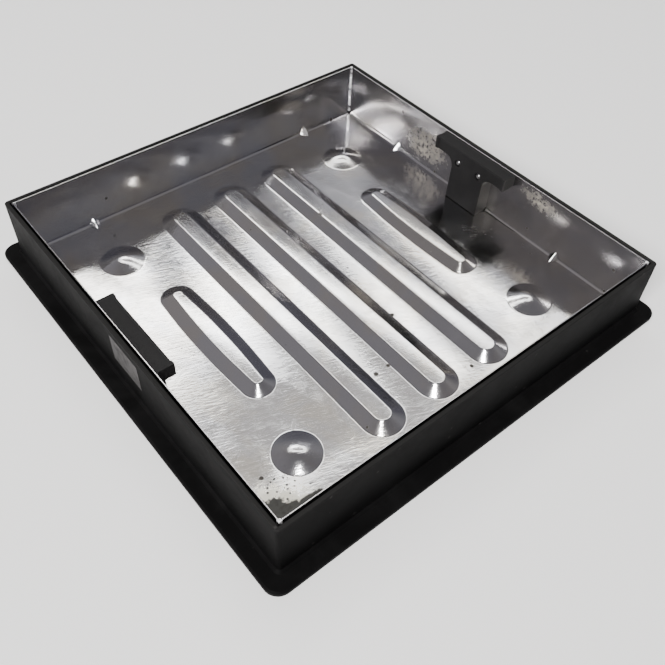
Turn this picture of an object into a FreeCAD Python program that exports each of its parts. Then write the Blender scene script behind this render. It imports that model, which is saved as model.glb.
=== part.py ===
import FreeCAD, Part
import math
import os
import Sketcher
from FreeCAD import Rotation, Vector

# Recessed paving cover: a pressed and folded steel tray that takes the paving, resting on the ledge of a
# moulded plastic frame. Two T-shaped lifting housings are riveted to opposite walls of the tray.
# Millimetres, Z up, origin at the centre of the frame's underside. The long ribs run along Y, and the
# lifting housings stand against the walls at -X and +X.

SIZES = [
    # moulded frame
    ("frame_side", 520.0),        # outside of the upright wall
    ("frame_height", 80.0),       # underside to top edge
    ("frame_wall", 5.0),
    ("frame_corner", 4.0),        # radius of the wall's upright corners
    ("frame_edge", 1.0),          # bevel of the wall's top edges
    ("flange_out", 18.0),         # how far the base flange stands out from the wall
    ("flange_depth", 6.0),
    ("flange_corner", 16.0),
    ("flange_edge", 2.0),
    ("flange_root", 3.0),         # slanted strip between wall and flange
    ("ledge_depth", 3.5),         # thickness of the ledge under the tray
    ("clear_opening", 450.0),
    ("opening_corner", 12.0),
    # pressed steel tray
    ("tray_gap", 2.0),            # running gap between tray and frame, each side
    ("rim_drop", 0.0),            # tray rim below the frame's top edge
    ("sheet_gauge", 1.5),
    ("bend_radius", 5.0),         # inside radius of the bend between floor and walls
    ("weld_radius", 1.5),
    ("weld_sunk", 0.45),          # centre of a weld bead inside the corner of the walls
    ("relief_notch", 3.5),        # square opening where the folded walls meet the floor's corner
    ("press_edge", 1.4),          # softening of the pressed ribs' crowns
    ("rib_count", 3),
    ("rib_length", 430.0),
    ("rib_width", 50.0),
    ("rib_pitch", 77.0),
    ("rib_rise", 7.0),
    ("rib_slope", 15.0),          # width of a rib's sloping side, in plan
    ("lens_length", 194.0),
    ("lens_width", 49.0),
    ("lens_end", 18.0),           # radius of a lens rib's ends
    ("lens_slope", 14.0),
    ("lens_place", 152.0),        # centre of a lens rib from the middle of the tray
    ("dome_diameter", 53.0),
    ("dome_rise", 6.0),
    ("dome_place", 171.5),        # centre of a dome from the middle of the tray, both ways
    ("hollow_flat", 16.0),        # width of the flat inside a dome's hollow
    ("dart_reach", 9.0),          # how far a dart runs up the wall and along the floor
    ("dart_width", 14.0),
    ("dart_tip", 2.0),
    ("dart_place_side", 143.0),   # darts of the walls that carry the housings, from the middle
    ("dart_place_end", 166.0),    # darts of the other two walls
    # lifting housings
    ("head_length", 118.0),
    ("head_height", 16.0),
    ("head_reach", 19.0),         # from the tray wall to the front, at the top
    ("foot_reach", 22.0),         # the same at the foot
    ("stem_width", 53.0),
    ("ear_radius", 13.0),         # hollow between an ear's underside and the stem
    ("lip_length", 5.0),
    ("lip_proud", 1.0),
    ("housing_drop", 0.5),        # top of a housing below the tray rim
    ("housing_lift", 0.4),        # foot of a housing above the tray floor
    ("housing_edge", 1.0),
    ("lip_edge", 0.5),
    # rivets
    ("rivet_spacing", 35.0),
    ("rivet_depth", 19.0),        # below the tray rim
    ("rivet_shank", 4.0),
    ("rivet_clearance", 0.2),
    ("rivet_head", 7.0),
    ("rivet_crown", 4.0),         # flat on top of the head
    ("rivet_head_rise", 1.8),
    ("rivet_recess", 9.5),
    ("rivet_recess_depth", 1.5),
    ("rivet_tail", 6.0),
    ("rivet_tail_depth", 1.0),
    # label
    ("label_length", 54.0),
    ("label_height", 36.0),
    ("label_film", 0.3),
    ("label_place", -7.5),        # centre along the wall
    ("label_up", 52.0),           # centre above the underside
]

doc = FreeCAD.newDocument("paving_cover")
sheet = doc.addObject("Spreadsheet::Sheet", "Sizes")
for row, (alias, value) in enumerate(SIZES, start=1):
    sheet.set("A%d" % row, alias)
    sheet.set("B%d" % row, str(value))
    sheet.setAlias("B%d" % row, alias)
doc.recompute()


def size(alias):
    """The value of one cell of the sheet."""
    return float(sheet.get(alias))


def cells(expression):
    """An expression in plain aliases, with each alias pointed at the sheet."""
    words = []
    for word in expression.split():
        words.append("Sizes." + word if word in ALIASES else word)
    return " ".join(words)


ALIASES = {alias for alias, value in SIZES}

# Levels and planes that several pieces share.
TRAY_BASE = "ledge_depth"
FLOOR = "ledge_depth + sheet_gauge"
RIM = "frame_height - rim_drop"
TRAY_SIDE = "( frame_side - 2 * frame_wall - 2 * tray_gap )"
TRAY_INSIDE = "( " + TRAY_SIDE + " - 2 * sheet_gauge )"
HEAD_TOP = RIM + " - housing_drop"
HEAD_BASE = HEAD_TOP + " - head_height"

# A dart's form above the sheet, set half into it, and its hollow below: what presses it, the plane of the
# wall and the level of the floor that its right angle lies on, and how much longer its two legs are.
DART_SIDES = (
    ("AdditiveLoft", TRAY_INSIDE + " / 2 + sheet_gauge / 2", FLOOR + " - sheet_gauge / 2",
     "sheet_gauge", "top"),
    ("SubtractiveLoft", TRAY_SIDE + " / 2", TRAY_BASE, "sheet_gauge * ( 2 - sqrt(2) )", "under"),
)
DART_SECTIONS = (
    ("first", " - dart_width / 2", "dart_tip"),
    ("middle", "", "dart_reach"),
    ("last", " + dart_width / 2", "dart_tip"),
)

# A dome's hollow from below: one slope and a flat that lies where the round top has its height.
HOLLOW_TOP = "dome_rise * ( 1 - ( hollow_flat / dome_diameter ) ^ 2 )"
DOME_HOLLOW = (
    ("0", "0"),
    ("dome_diameter / 2", "0"),
    ("hollow_flat / 2", HOLLOW_TOP),
    ("0", HOLLOW_TOP),
)


def number(expression):
    """The present value of an expression in plain aliases."""
    words = []
    for word in expression.split():
        words.append(repr(size(word)) if word in ALIASES else word)
    return FreeCAD.Units.Quantity(" ".join(words)).Value


def new_body(name):
    body = doc.addObject("PartDesign::Body", name)
    body.Label = name
    return body


def origin_part(body, role):
    """A plane or axis of the body's own origin, by its role."""
    return next(item for item in body.Origin.OriginFeatures if item.Role == role)


def new_sketch(body, name, plane="XY_Plane", across="0", up="0", out="0"):
    """A sketch on one of the body's origin planes, shifted in its own three directions."""
    sketch = body.newObject("Sketcher::SketchObject", name)
    sketch.AttachmentSupport = (origin_part(body, plane), [""])
    sketch.MapMode = "FlatFace"
    for axis, shift in (("x", across), ("y", up), ("z", out)):
        if shift != "0":
            sketch.setExpression("AttachmentOffset.Base." + axis, "1 mm * (" + cells(shift) + ")")
    return sketch


def bind(sketch, constraint, name, expression, unit="1 mm"):
    """Adds a dimension to a sketch and ties it to the sheet."""
    index = sketch.addConstraint(constraint)
    sketch.renameConstraint(index, name)
    sketch.setExpression("Constraints." + name, unit + " * (" + cells(expression) + ")")


def add_rectangle(sketch, wide, high, centre=(0.0, 0.0), tag=""):
    """A rectangle of bound sides, its centre on the sketch's origin unless it is bound by the caller."""
    half_w = number(wide) / 2
    half_h = number(high) / 2
    corners = [(-half_w, -half_h), (half_w, -half_h), (half_w, half_h), (-half_w, half_h)]
    points = [Vector(centre[0] + x, centre[1] + y, 0) for x, y in corners]
    first = sketch.GeometryCount
    for start, end in zip(points, points[1:] + points[:1]):
        sketch.addGeometry(Part.LineSegment(start, end), False)
    for side in range(4):
        sketch.addConstraint(Sketcher.Constraint("Coincident", first + side, 2, first + (side + 1) % 4, 1))
        kind = "Horizontal" if side % 2 == 0 else "Vertical"
        sketch.addConstraint(Sketcher.Constraint(kind, first + side))
    bind(sketch, Sketcher.Constraint("DistanceX", first, 1, first, 2, 2 * half_w), "wide" + tag, wide)
    bind(sketch, Sketcher.Constraint("DistanceY", first + 1, 1, first + 1, 2, 2 * half_h), "high" + tag, high)
    return first


def centred_rectangle(sketch, wide, high):
    first = add_rectangle(sketch, wide, high)
    sketch.addConstraint(Sketcher.Constraint("Symmetric", first, 1, first + 1, 2, -1, 1))


def add_circle(sketch, across, up, diameter, tag):
    """A circle whose centre and diameter are bound; across and up are expressions from the sketch's origin."""
    centre = Vector(number(across), number(up), 0)
    index = sketch.addGeometry(Part.Circle(centre, Vector(0, 0, 1), number(diameter) / 2), False)
    bind(sketch, Sketcher.Constraint("DistanceX", -1, 1, index, 3, centre.x), "across" + tag, across)
    bind(sketch, Sketcher.Constraint("DistanceY", -1, 1, index, 3, centre.y), "up" + tag, up)
    bind(sketch, Sketcher.Constraint("Diameter", index, number(diameter)), "diameter" + tag, diameter)


def add_polygon(sketch, points, tag=""):
    """A closed outline of straight lines, each corner bound by its two expressions."""
    places = [Vector(number(x), number(y), 0) for x, y in points]
    first = sketch.GeometryCount
    count = len(places)
    for start, end in zip(places, places[1:] + places[:1]):
        sketch.addGeometry(Part.LineSegment(start, end), False)
    for side in range(count):
        sketch.addConstraint(Sketcher.Constraint("Coincident", first + side, 2, first + (side + 1) % count, 1))
    for side, ((x, y), place) in enumerate(zip(points, places)):
        corner = "%d%s" % (side, tag)
        bind(sketch, Sketcher.Constraint("DistanceX", -1, 1, first + side, 1, place.x), "across" + corner, x)
        bind(sketch, Sketcher.Constraint("DistanceY", -1, 1, first + side, 1, place.y), "up" + corner, y)


def pad(body, sketch, name, length, reversed_side=False):
    feature = body.newObject("PartDesign::Pad", name)
    feature.Profile = sketch
    feature.setExpression("Length", "1 mm * (" + cells(length) + ")")
    feature.Reversed = reversed_side
    doc.recompute()
    return feature


def pocket(body, sketch, name, length=None, reversed_side=False):
    """Cuts a sketch away, to a bound length or through all; the cut must take volume away."""
    before = body.Shape.Volume
    feature = body.newObject("PartDesign::Pocket", name)
    feature.Profile = sketch
    feature.Reversed = reversed_side
    if length is None:
        feature.Type = "ThroughAll"
    else:
        feature.setExpression("Length", "1 mm * (" + cells(length) + ")")
    doc.recompute()
    if body.Shape.Volume >= before - 1e-6:
        raise RuntimeError(name + " cuts nothing")
    return feature


def round_edges(body, name, radius, picks):
    """Fillets the edges of the body that a test picks."""
    base = body.Tip
    names = ["Edge%d" % (i + 1) for i, edge in enumerate(base.Shape.Edges) if picks(edge)]
    if not names:
        raise RuntimeError(name + " finds no edge")
    feature = body.newObject("PartDesign::Fillet", name)
    feature.Base = (base, names)
    feature.setExpression("Radius", "1 mm * (" + cells(radius) + ")")
    doc.recompute()
    return feature


def chamfer_edges(body, name, width, picks):
    """Chamfers the edges of the body that a test picks."""
    base = body.Tip
    names = ["Edge%d" % (i + 1) for i, edge in enumerate(base.Shape.Edges) if picks(edge)]
    if not names:
        raise RuntimeError(name + " finds no edge")
    feature = body.newObject("PartDesign::Chamfer", name)
    feature.Base = (base, names)
    feature.setExpression("Size", "1 mm * (" + cells(width) + ")")
    doc.recompute()
    return feature


def is_upright(edge):
    box = edge.BoundBox
    return box.XLength < 1e-6 and box.YLength < 1e-6


def lies_at(edge, level):
    box = edge.BoundBox
    return abs(box.ZMin - level) < 1e-4 and abs(box.ZMax - level) < 1e-4


def runs_along_x(edge):
    box = edge.BoundBox
    return box.YLength < 1e-6 and box.ZLength < 1e-6


def lies_round_a_seat(edge):
    """True for the mouth of a rivet seat: an edge within the seat's radius of its centre."""
    middle = edge.BoundBox.Center
    aside = abs(middle.y) - number("rivet_spacing / 2")
    above = middle.z - number(RIM + " - rivet_depth")
    return (aside ** 2 + above ** 2) ** 0.5 < number("rivet_recess / 2")


def reach(edge):
    """The greater of the edge's distances from the middle, along X and along Y."""
    middle = edge.BoundBox.Center
    return max(abs(middle.x), abs(middle.y))


def build_frame():
    """The moulded frame: base flange, upright wall, and the ledge round the clear opening."""
    body = new_body("frame")
    base = new_sketch(body, "flange_outline")
    flange_side = "frame_side + 2 * flange_out"
    centred_rectangle(base, flange_side, flange_side)
    pad(body, base, "flange", "flange_depth")
    round_edges(body, "flange_corners", "flange_corner", is_upright)

    wall = new_sketch(body, "wall_outline")
    centred_rectangle(wall, "frame_side", "frame_side")
    pad(body, wall, "wall", "frame_height")
    half_wall = number("frame_side") / 2
    round_edges(body, "wall_corners", "frame_corner",
                lambda edge: is_upright(edge) and abs(reach(edge) - half_wall) < 1e-4)

    seat = new_sketch(body, "seat_outline", out=TRAY_BASE)
    seat_side = "frame_side - 2 * frame_wall"
    centred_rectangle(seat, seat_side, seat_side)
    pocket(body, seat, "seat", reversed_side=True)

    opening = new_sketch(body, "opening_outline")
    centred_rectangle(opening, "clear_opening", "clear_opening")
    pocket(body, opening, "opening", reversed_side=True)
    half_opening = number("clear_opening") / 2
    round_edges(body, "opening_corners", "opening_corner",
                lambda edge: is_upright(edge) and abs(reach(edge) - half_opening) < 1e-4)

    flange_top = number("flange_depth")
    top = number("frame_height")
    chamfer_edges(body, "flange_root_bevel", "flange_root",
                  lambda edge: lies_at(edge, flange_top) and reach(edge) < half_wall + 1e-4)
    chamfer_edges(body, "flange_bevel", "flange_edge",
                  lambda edge: lies_at(edge, flange_top) and reach(edge) > half_wall + number("flange_root"))
    chamfer_edges(body, "top_bevel", "frame_edge", lambda edge: lies_at(edge, top))
    return body


def add_stadium(sketch, long, wide):
    """A slot outline along the sketch's upright axis, centred on its origin."""
    radius = number(wide) / 2
    reach_up = number(long) / 2 - radius
    up = Vector(0, reach_up, 0)
    down = Vector(0, -reach_up, 0)
    axis = Vector(0, 0, 1)
    top = sketch.addGeometry(Part.ArcOfCircle(Part.Circle(up, axis, radius), 0, math.pi), False)
    left = sketch.addGeometry(Part.LineSegment(up + Vector(-radius, 0, 0), down + Vector(-radius, 0, 0)), False)
    low = Part.ArcOfCircle(Part.Circle(down, axis, radius), math.pi, 2 * math.pi)
    bottom = sketch.addGeometry(low, False)
    right = sketch.addGeometry(Part.LineSegment(down + Vector(radius, 0, 0), up + Vector(radius, 0, 0)), False)
    for one, other in ((top, left), (left, bottom), (bottom, right), (right, top)):
        sketch.addConstraint(Sketcher.Constraint("Tangent", one, 2, other, 1))
    sketch.addConstraint(Sketcher.Constraint("Vertical", left))
    sketch.addConstraint(Sketcher.Constraint("Symmetric", top, 3, bottom, 3, -1, 1))
    sketch.addConstraint(Sketcher.Constraint("PointOnObject", top, 3, -2))
    bind(sketch, Sketcher.Constraint("Radius", top, radius), "end", "( " + wide + " ) / 2")
    bind(sketch, Sketcher.Constraint("DistanceY", bottom, 3, top, 3, 2 * reach_up), "between",
         "( " + long + " ) - ( " + wide + " )")


def add_lens(sketch, inset):
    """The outline of a lens rib, moved inwards by an inset: two shallow arcs and two round ends."""
    end = "lens_end - " + inset
    centre_up = "lens_length / 2 - lens_end"
    side = ("( ( " + centre_up + " ) ^ 2 + lens_width ^ 2 / 4 - lens_end ^ 2 )"
            " / ( lens_width - 2 * lens_end )")
    up = size("lens_length") / 2 - size("lens_end")
    belly = size("lens_width") - 2 * size("lens_end")
    side_radius = (up ** 2 + size("lens_width") ** 2 / 4 - size("lens_end") ** 2) / belly
    off = side_radius - size("lens_width") / 2
    small = size("lens_end") - number(inset)
    large = side_radius - number(inset)
    axis = Vector(0, 0, 1)
    lean = Vector(off, up, 0).getAngle(Vector(1, 0, 0))
    top = sketch.addGeometry(Part.ArcOfCircle(
        Part.Circle(Vector(0, up, 0), axis, small), lean, math.pi - lean), False)
    left = sketch.addGeometry(Part.ArcOfCircle(
        Part.Circle(Vector(off, 0, 0), axis, large), math.pi - lean, math.pi + lean), False)
    bottom = sketch.addGeometry(Part.ArcOfCircle(
        Part.Circle(Vector(0, -up, 0), axis, small), math.pi + lean, 2 * math.pi - lean), False)
    right = sketch.addGeometry(Part.ArcOfCircle(
        Part.Circle(Vector(-off, 0, 0), axis, large), -lean, lean), False)
    for one, other in ((top, left), (left, bottom), (bottom, right), (right, top)):
        sketch.addConstraint(Sketcher.Constraint("Tangent", one, 2, other, 1))
    sketch.addConstraint(Sketcher.Constraint("PointOnObject", top, 3, -2))
    sketch.addConstraint(Sketcher.Constraint("Symmetric", top, 3, bottom, 3, -1, 1))
    sketch.addConstraint(Sketcher.Constraint("PointOnObject", left, 3, -1))
    sketch.addConstraint(Sketcher.Constraint("Equal", left, right))
    bind(sketch, Sketcher.Constraint("Radius", top, small), "end", end)
    bind(sketch, Sketcher.Constraint("DistanceY", -1, 1, top, 3, up), "centre_up", centre_up)
    bind(sketch, Sketcher.Constraint("Radius", left, large), "side", side + " - " + inset)


def loft(body, kind, name, sketches):
    """Straight-sided form through a row of sketches; it must add volume, or take it away."""
    before = body.Shape.Volume
    feature = body.newObject("PartDesign::" + kind, name)
    feature.Profile = sketches[0]
    feature.Sections = sketches[1:]
    feature.Ruled = True
    doc.recompute()
    gained = body.Shape.Volume - before
    if (gained if kind == "AdditiveLoft" else -gained) < 1e-6:
        raise RuntimeError(name + " changes nothing")
    return feature


def press_up(body, name, outline, place, rise):
    """A pressed rib: the sheet raised to a flat crown, and the same form taken out of its underside."""
    made = []
    for kind, level, tag in (("AdditiveLoft", FLOOR, "top"), ("SubtractiveLoft", TRAY_BASE, "under")):
        foot = new_sketch(body, name + "_foot_" + tag, across=place, out=level)
        outline(foot, False)
        crown = new_sketch(body, name + "_crown_" + tag, across=place, out=level + " + " + rise)
        outline(crown, True)
        made.append(loft(body, kind, name + "_" + tag, [foot, crown]))
    return made


def long_rib(sketch, crown):
    inset = " - 2 * rib_slope" if crown else ""
    add_stadium(sketch, "rib_length" + inset, "rib_width" + inset)


def lens_rib(sketch, crown):
    add_lens(sketch, "lens_slope" if crown else "0")


def repeat_in_row(body, name, features, pitch, count):
    pattern = body.newObject("PartDesign::LinearPattern", name)
    pattern.Originals = features
    pattern.Direction = (origin_part(body, "X_Axis"), [""])
    pattern.Mode = "Spacing"
    pattern.setExpression("Offset", "1 mm * (" + cells(pitch) + ")")
    pattern.setExpression("Occurrences", cells(count))
    body.Tip = pattern
    doc.recompute()
    return pattern


def mirror_over(body, name, features, plane):
    mirrored = body.newObject("PartDesign::Mirrored", name)
    mirrored.Originals = features
    mirrored.MirrorPlane = (origin_part(body, plane), [""])
    body.Tip = mirrored
    doc.recompute()
    return mirrored


def mirror_both_ways(body, name, features):
    """Copies of features over the two upright planes through the middle."""
    both = body.newObject("PartDesign::MultiTransform", name)
    both.Originals = features
    steps = []
    for plane in ("XZ_Plane", "YZ_Plane"):
        step = body.newObject("PartDesign::Mirrored", name + "_" + plane[:2].lower())
        step.MirrorPlane = (origin_part(body, plane), [""])
        steps.append(step)
    both.Transformations = steps
    body.Tip = both
    doc.recompute()
    return both


def add_cap(sketch):
    """Half the section of a dome, from its axis out to its foot."""
    radius = size("dome_diameter") / 2
    rise = size("dome_rise")
    ball = (radius ** 2 + rise ** 2) / (2 * rise)
    crown = Vector(0, rise, 0)
    foot = Vector(radius, 0, 0)
    centre = Vector(0, rise - ball, 0)
    start = (foot - centre).getAngle(Vector(1, 0, 0))
    axis_line = sketch.addGeometry(Part.LineSegment(crown, Vector(0, 0, 0)), False)
    foot_line = sketch.addGeometry(Part.LineSegment(Vector(0, 0, 0), foot), False)
    cap = sketch.addGeometry(Part.ArcOfCircle(
        Part.Circle(centre, Vector(0, 0, 1), ball), start, math.pi / 2), False)
    sketch.addConstraint(Sketcher.Constraint("Coincident", axis_line, 2, foot_line, 1))
    sketch.addConstraint(Sketcher.Constraint("Coincident", foot_line, 2, cap, 1))
    sketch.addConstraint(Sketcher.Constraint("Coincident", cap, 2, axis_line, 1))
    sketch.addConstraint(Sketcher.Constraint("Coincident", foot_line, 1, -1, 1))
    sketch.addConstraint(Sketcher.Constraint("Vertical", axis_line))
    sketch.addConstraint(Sketcher.Constraint("Horizontal", foot_line))
    sketch.addConstraint(Sketcher.Constraint("PointOnObject", cap, 3, -2))
    bind(sketch, Sketcher.Constraint("DistanceX", foot_line, 1, foot_line, 2, radius), "foot",
         "dome_diameter / 2")
    bind(sketch, Sketcher.Constraint("DistanceY", axis_line, 2, axis_line, 1, rise), "rise", "dome_rise")


def build_domes(body):
    """The domes of the tray floor, raised above and hollow below, one near each corner."""
    made = []
    for kind, level, tag in (("Revolution", FLOOR, "top"), ("Groove", TRAY_BASE, "under")):
        section = new_sketch(body, "dome_section_" + tag, "XZ_Plane",
                             across="dome_place", up=level, out="dome_place")
        if tag == "top":
            add_cap(section)
        else:
            add_polygon(section, DOME_HOLLOW)
        turned = body.newObject("PartDesign::" + kind, "dome_" + tag)
        turned.Profile = section
        turned.ReferenceAxis = (section, ["V_Axis"])
        turned.Angle = 360.0
        doc.recompute()
        made.append(turned)
    return mirror_both_ways(body, "domes", made)


def build_darts(body, name, plane, place):
    """Darts pressed across the floor bend of two opposite walls, two on each: three sections, small,
    large and small, along the bend. The hollow outside follows the sheet's thickness."""
    made = []
    for kind, wall, level, extra, tag in DART_SIDES:
        sections = []
        for step, shift, leg in DART_SECTIONS:
            spot = "0 - ( " + place + shift + " )"
            section = new_sketch(body, name + "_" + step + "_" + tag, plane, out=spot)
            long_leg = leg + " + " + extra
            add_polygon(section, [
                (wall, level),
                (wall, level + " + " + long_leg),
                (wall + " - " + "( " + long_leg + " )", level),
            ])
            sections.append(section)
        made.append(loft(body, kind, name + "_" + tag, sections))
    return mirror_both_ways(body, name, made)


def add_four_circles(sketch, place, diameter):
    """Circles at the four corners of a square, each at the same distance from the middle both ways."""
    for tag, along in (("_a", ""), ("_b", "0 - ")):
        for row, up in (("_c", ""), ("_d", "0 - ")):
            add_circle(sketch, along + "( " + place + " )", up + "( " + place + " )", diameter, tag + row)


def add_four_squares(sketch, place, side):
    """Squares of one side length, centred like the circles above."""
    for tag, along in (("_a", ""), ("_b", "0 - ")):
        for row, up in (("_c", ""), ("_d", "0 - ")):
            corners = []
            for across_step, up_step in ((" - ", " - "), (" + ", " - "), (" + ", " + "), (" - ", " + ")):
                corners.append((
                    along + "( " + place + " )" + across_step + side + " / 2",
                    up + "( " + place + " )" + up_step + side + " / 2",
                ))
            add_polygon(sketch, corners, tag + row)


def add_rivet_circles(sketch, diameter):
    """The two rivet places of one housing, side by side under the rim."""
    for tag, along in (("_a", ""), ("_b", "0 - ")):
        add_circle(sketch, along + "rivet_spacing / 2", RIM + " - rivet_depth", diameter, tag)


def build_tray():
    """The steel tray: floor and four walls of one sheet, its corners welded, its floor pressed up."""
    body = new_body("tray")
    outside = new_sketch(body, "tray_outline", out=TRAY_BASE)
    centred_rectangle(outside, TRAY_SIDE, TRAY_SIDE)
    pad(body, outside, "tray_block", RIM + " - ledge_depth")
    inside = new_sketch(body, "tray_inside", out=FLOOR)
    centred_rectangle(inside, TRAY_INSIDE, TRAY_INSIDE)
    pocket(body, inside, "tray_hollow", reversed_side=True)
    base_level = number(TRAY_BASE)
    floor_level = number(FLOOR)
    round_edges(body, "outer_bend", "bend_radius + sheet_gauge", lambda edge: lies_at(edge, base_level))
    round_edges(body, "inner_bend", "bend_radius", lambda edge: lies_at(edge, floor_level))

    made = press_up(body, "rib", long_rib, "0 - rib_pitch", "rib_rise")
    repeat_in_row(body, "ribs", made, "rib_pitch", "rib_count")
    made = press_up(body, "lens", lens_rib, "0 - lens_place", "rib_rise")
    mirror_over(body, "lenses", made, "YZ_Plane")
    crown_level = number(FLOOR + " + rib_rise")
    chamfer_edges(body, "rib_crowns", "press_edge", lambda edge: lies_at(edge, crown_level))
    build_domes(body)
    build_darts(body, "side_darts", "XZ_Plane", "dart_place_side")
    build_darts(body, "end_darts", "YZ_Plane", "dart_place_end")

    seams = new_sketch(body, "weld_outline", out=FLOOR + " + bend_radius")
    add_four_circles(seams, TRAY_INSIDE + " / 2 - weld_sunk", "2 * weld_radius")
    pad(body, seams, "corner_welds", RIM + " - ( " + FLOOR + " + bend_radius )")
    relief = new_sketch(body, "relief_outline", out=TRAY_BASE)
    add_four_squares(relief, TRAY_INSIDE + " / 2 - sheet_gauge", "relief_notch")
    pocket(body, relief, "relief_notches", "sheet_gauge + bend_radius", reversed_side=True)
    rivet_holes = new_sketch(body, "rivet_hole_outline", "YZ_Plane")
    add_rivet_circles(rivet_holes, "rivet_shank + rivet_clearance")
    pocket(body, rivet_holes, "left_rivet_holes")
    pocket(body, rivet_holes, "right_rivet_holes", reversed_side=True)
    return body


def build_housing(name, turn):
    """A lifting housing against the -X wall, or turned half round to the wall opposite."""
    body = new_body(name)
    wall = "0 - " + TRAY_INSIDE + " / 2"
    head = new_sketch(body, "head_outline", "YZ_Plane", up=HEAD_BASE + " + head_height / 2", out=wall)
    centred_rectangle(head, "head_length", "head_height")
    pad(body, head, "head", "foot_reach")
    foot = FLOOR + " + housing_lift"
    stem_height = HEAD_TOP + " - ( " + foot + " )"
    stem = new_sketch(body, "stem_outline", "YZ_Plane", up=foot + " + ( " + stem_height + " ) / 2", out=wall)
    centred_rectangle(stem, "stem_width", stem_height)
    pad(body, stem, "stem", "foot_reach")
    half_stem = number("stem_width / 2")
    head_base = number(HEAD_BASE)
    round_edges(body, "ear_hollows", "ear_radius",
                lambda edge: runs_along_x(edge) and lies_at(edge, head_base)
                and abs(abs(edge.BoundBox.Center.y) - half_stem) < 1e-4)

    slope = new_sketch(body, "slope_outline", "XZ_Plane", across=wall, out="head_length")
    add_polygon(slope, [
        ("head_reach", HEAD_TOP),
        ("foot_reach", foot),
        ("foot_reach + lip_proud", HEAD_TOP),
    ])
    pocket(body, slope, "front_slope")
    lips = new_sketch(body, "lip_outline", "YZ_Plane", out=wall)
    for tag, sign in (("_left", ""), ("_right", "0 - ")):
        add_polygon(lips, [
            (sign + "( head_length / 2 - lip_length )", HEAD_BASE),
            (sign + "head_length / 2", HEAD_BASE),
            (sign + "head_length / 2", HEAD_TOP),
            (sign + "( head_length / 2 - lip_length )", HEAD_TOP),
        ], tag)
    pad(body, lips, "lips", "head_reach + lip_proud")

    seats = new_sketch(body, "rivet_seat_outline", "YZ_Plane", out=wall + " + head_reach - rivet_recess_depth")
    add_rivet_circles(seats, "rivet_recess")
    pocket(body, seats, "rivet_seats", reversed_side=True)
    holes = new_sketch(body, "rivet_hole_outline", "YZ_Plane")
    add_rivet_circles(holes, "rivet_shank + rivet_clearance")
    pocket(body, holes, "rivet_holes")

    foot_level = number(foot)
    back = number(wall)
    chamfer_edges(body, "foot_clearance", "bend_radius",
                  lambda edge: lies_at(edge, foot_level) and abs(edge.BoundBox.Center.x - back) < 1e-4)
    front = back + number("head_reach")
    lip_front = front + number("lip_proud")
    lip_start = number("head_length / 2 - lip_length")
    chamfer_edges(body, "front_bevel", "housing_edge",
                  lambda edge: edge.BoundBox.XMin > front - 1e-4
                  and abs(edge.BoundBox.XMax - lip_front) > 1e-4
                  and abs(edge.BoundBox.Center.y) < lip_start - 1e-4
                  and not lies_round_a_seat(edge))
    chamfer_edges(body, "lip_bevel", "lip_edge",
                  lambda edge: edge.BoundBox.XMin > lip_front - 1e-4
                  and edge.BoundBox.XMax < lip_front + 1e-4
                  and edge.BoundBox.ZMax > head_base + 1e-4
                  and abs(edge.BoundBox.Center.y) > lip_start + 1e-4)
    if turn:
        body.Placement = FreeCAD.Placement(Vector(0, 0, 0), Rotation(Vector(0, 0, 1), turn))
    doc.recompute()
    return body


def build_rivets():
    """Four rivets, each from its seat in a housing through the tray wall to its low round tail."""
    body = new_body("rivets")
    section = new_sketch(body, "rivet_section", "XZ_Plane", across="0 - " + TRAY_INSIDE + " / 2",
                         up=RIM + " - rivet_depth", out="0 - rivet_spacing / 2")
    seat = "head_reach - rivet_recess_depth"
    outside = "0 - sheet_gauge"
    add_polygon(section, [
        (outside + " - rivet_tail_depth", "0"),
        (outside, "rivet_tail / 2"),
        (outside, "rivet_shank / 2"),
        (seat, "rivet_shank / 2"),
        (seat, "rivet_head / 2"),
        (seat + " + rivet_head_rise", "rivet_crown / 2"),
        (seat + " + rivet_head_rise", "0"),
    ])
    rivet = body.newObject("PartDesign::Revolution", "rivet")
    rivet.Profile = section
    rivet.ReferenceAxis = (section, ["H_Axis"])
    rivet.Angle = 360.0
    doc.recompute()
    mirror_both_ways(body, "rivet_set", [rivet])
    return body


def build_label():
    """The blank label on the outside of the frame."""
    body = new_body("blank_label")
    outline = new_sketch(body, "label_outline", "YZ_Plane", across="label_place", up="label_up",
                         out="0 - frame_side / 2")
    centred_rectangle(outline, "label_length", "label_height")
    pad(body, outline, "film", "label_film", reversed_side=True)
    return body


def check_model(pieces):
    """Stops if any object of the document has failed or any piece isn't sound."""
    for item in doc.Objects:
        if "Invalid" in item.State or "Error" in item.State:
            raise RuntimeError(item.Name + " has failed: " + str(item.State))
    for piece, solids in pieces:
        shape = piece.Shape
        if shape.isNull() or not shape.isValid() or len(shape.Solids) != solids:
            raise RuntimeError(piece.Label + " isn't sound")


PIECES = [
    (build_frame(), 1),
    (build_tray(), 1),
    (build_housing("left_lifting_housing", 0), 1),
    (build_housing("right_lifting_housing", 180), 1),
    (build_rivets(), 4),
    (build_label(), 1),
]
doc.recompute()
check_model(PIECES)
os.makedirs("parts", exist_ok=True)
for piece, solids in PIECES:
    piece.Shape.exportStep("parts/%s.step" % piece.Label)
    print(piece.Label, round(piece.Shape.Volume / 1000, 2), "cubic centimetres")
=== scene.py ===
import math

import bpy
from mathutils import Matrix, Vector


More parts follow.
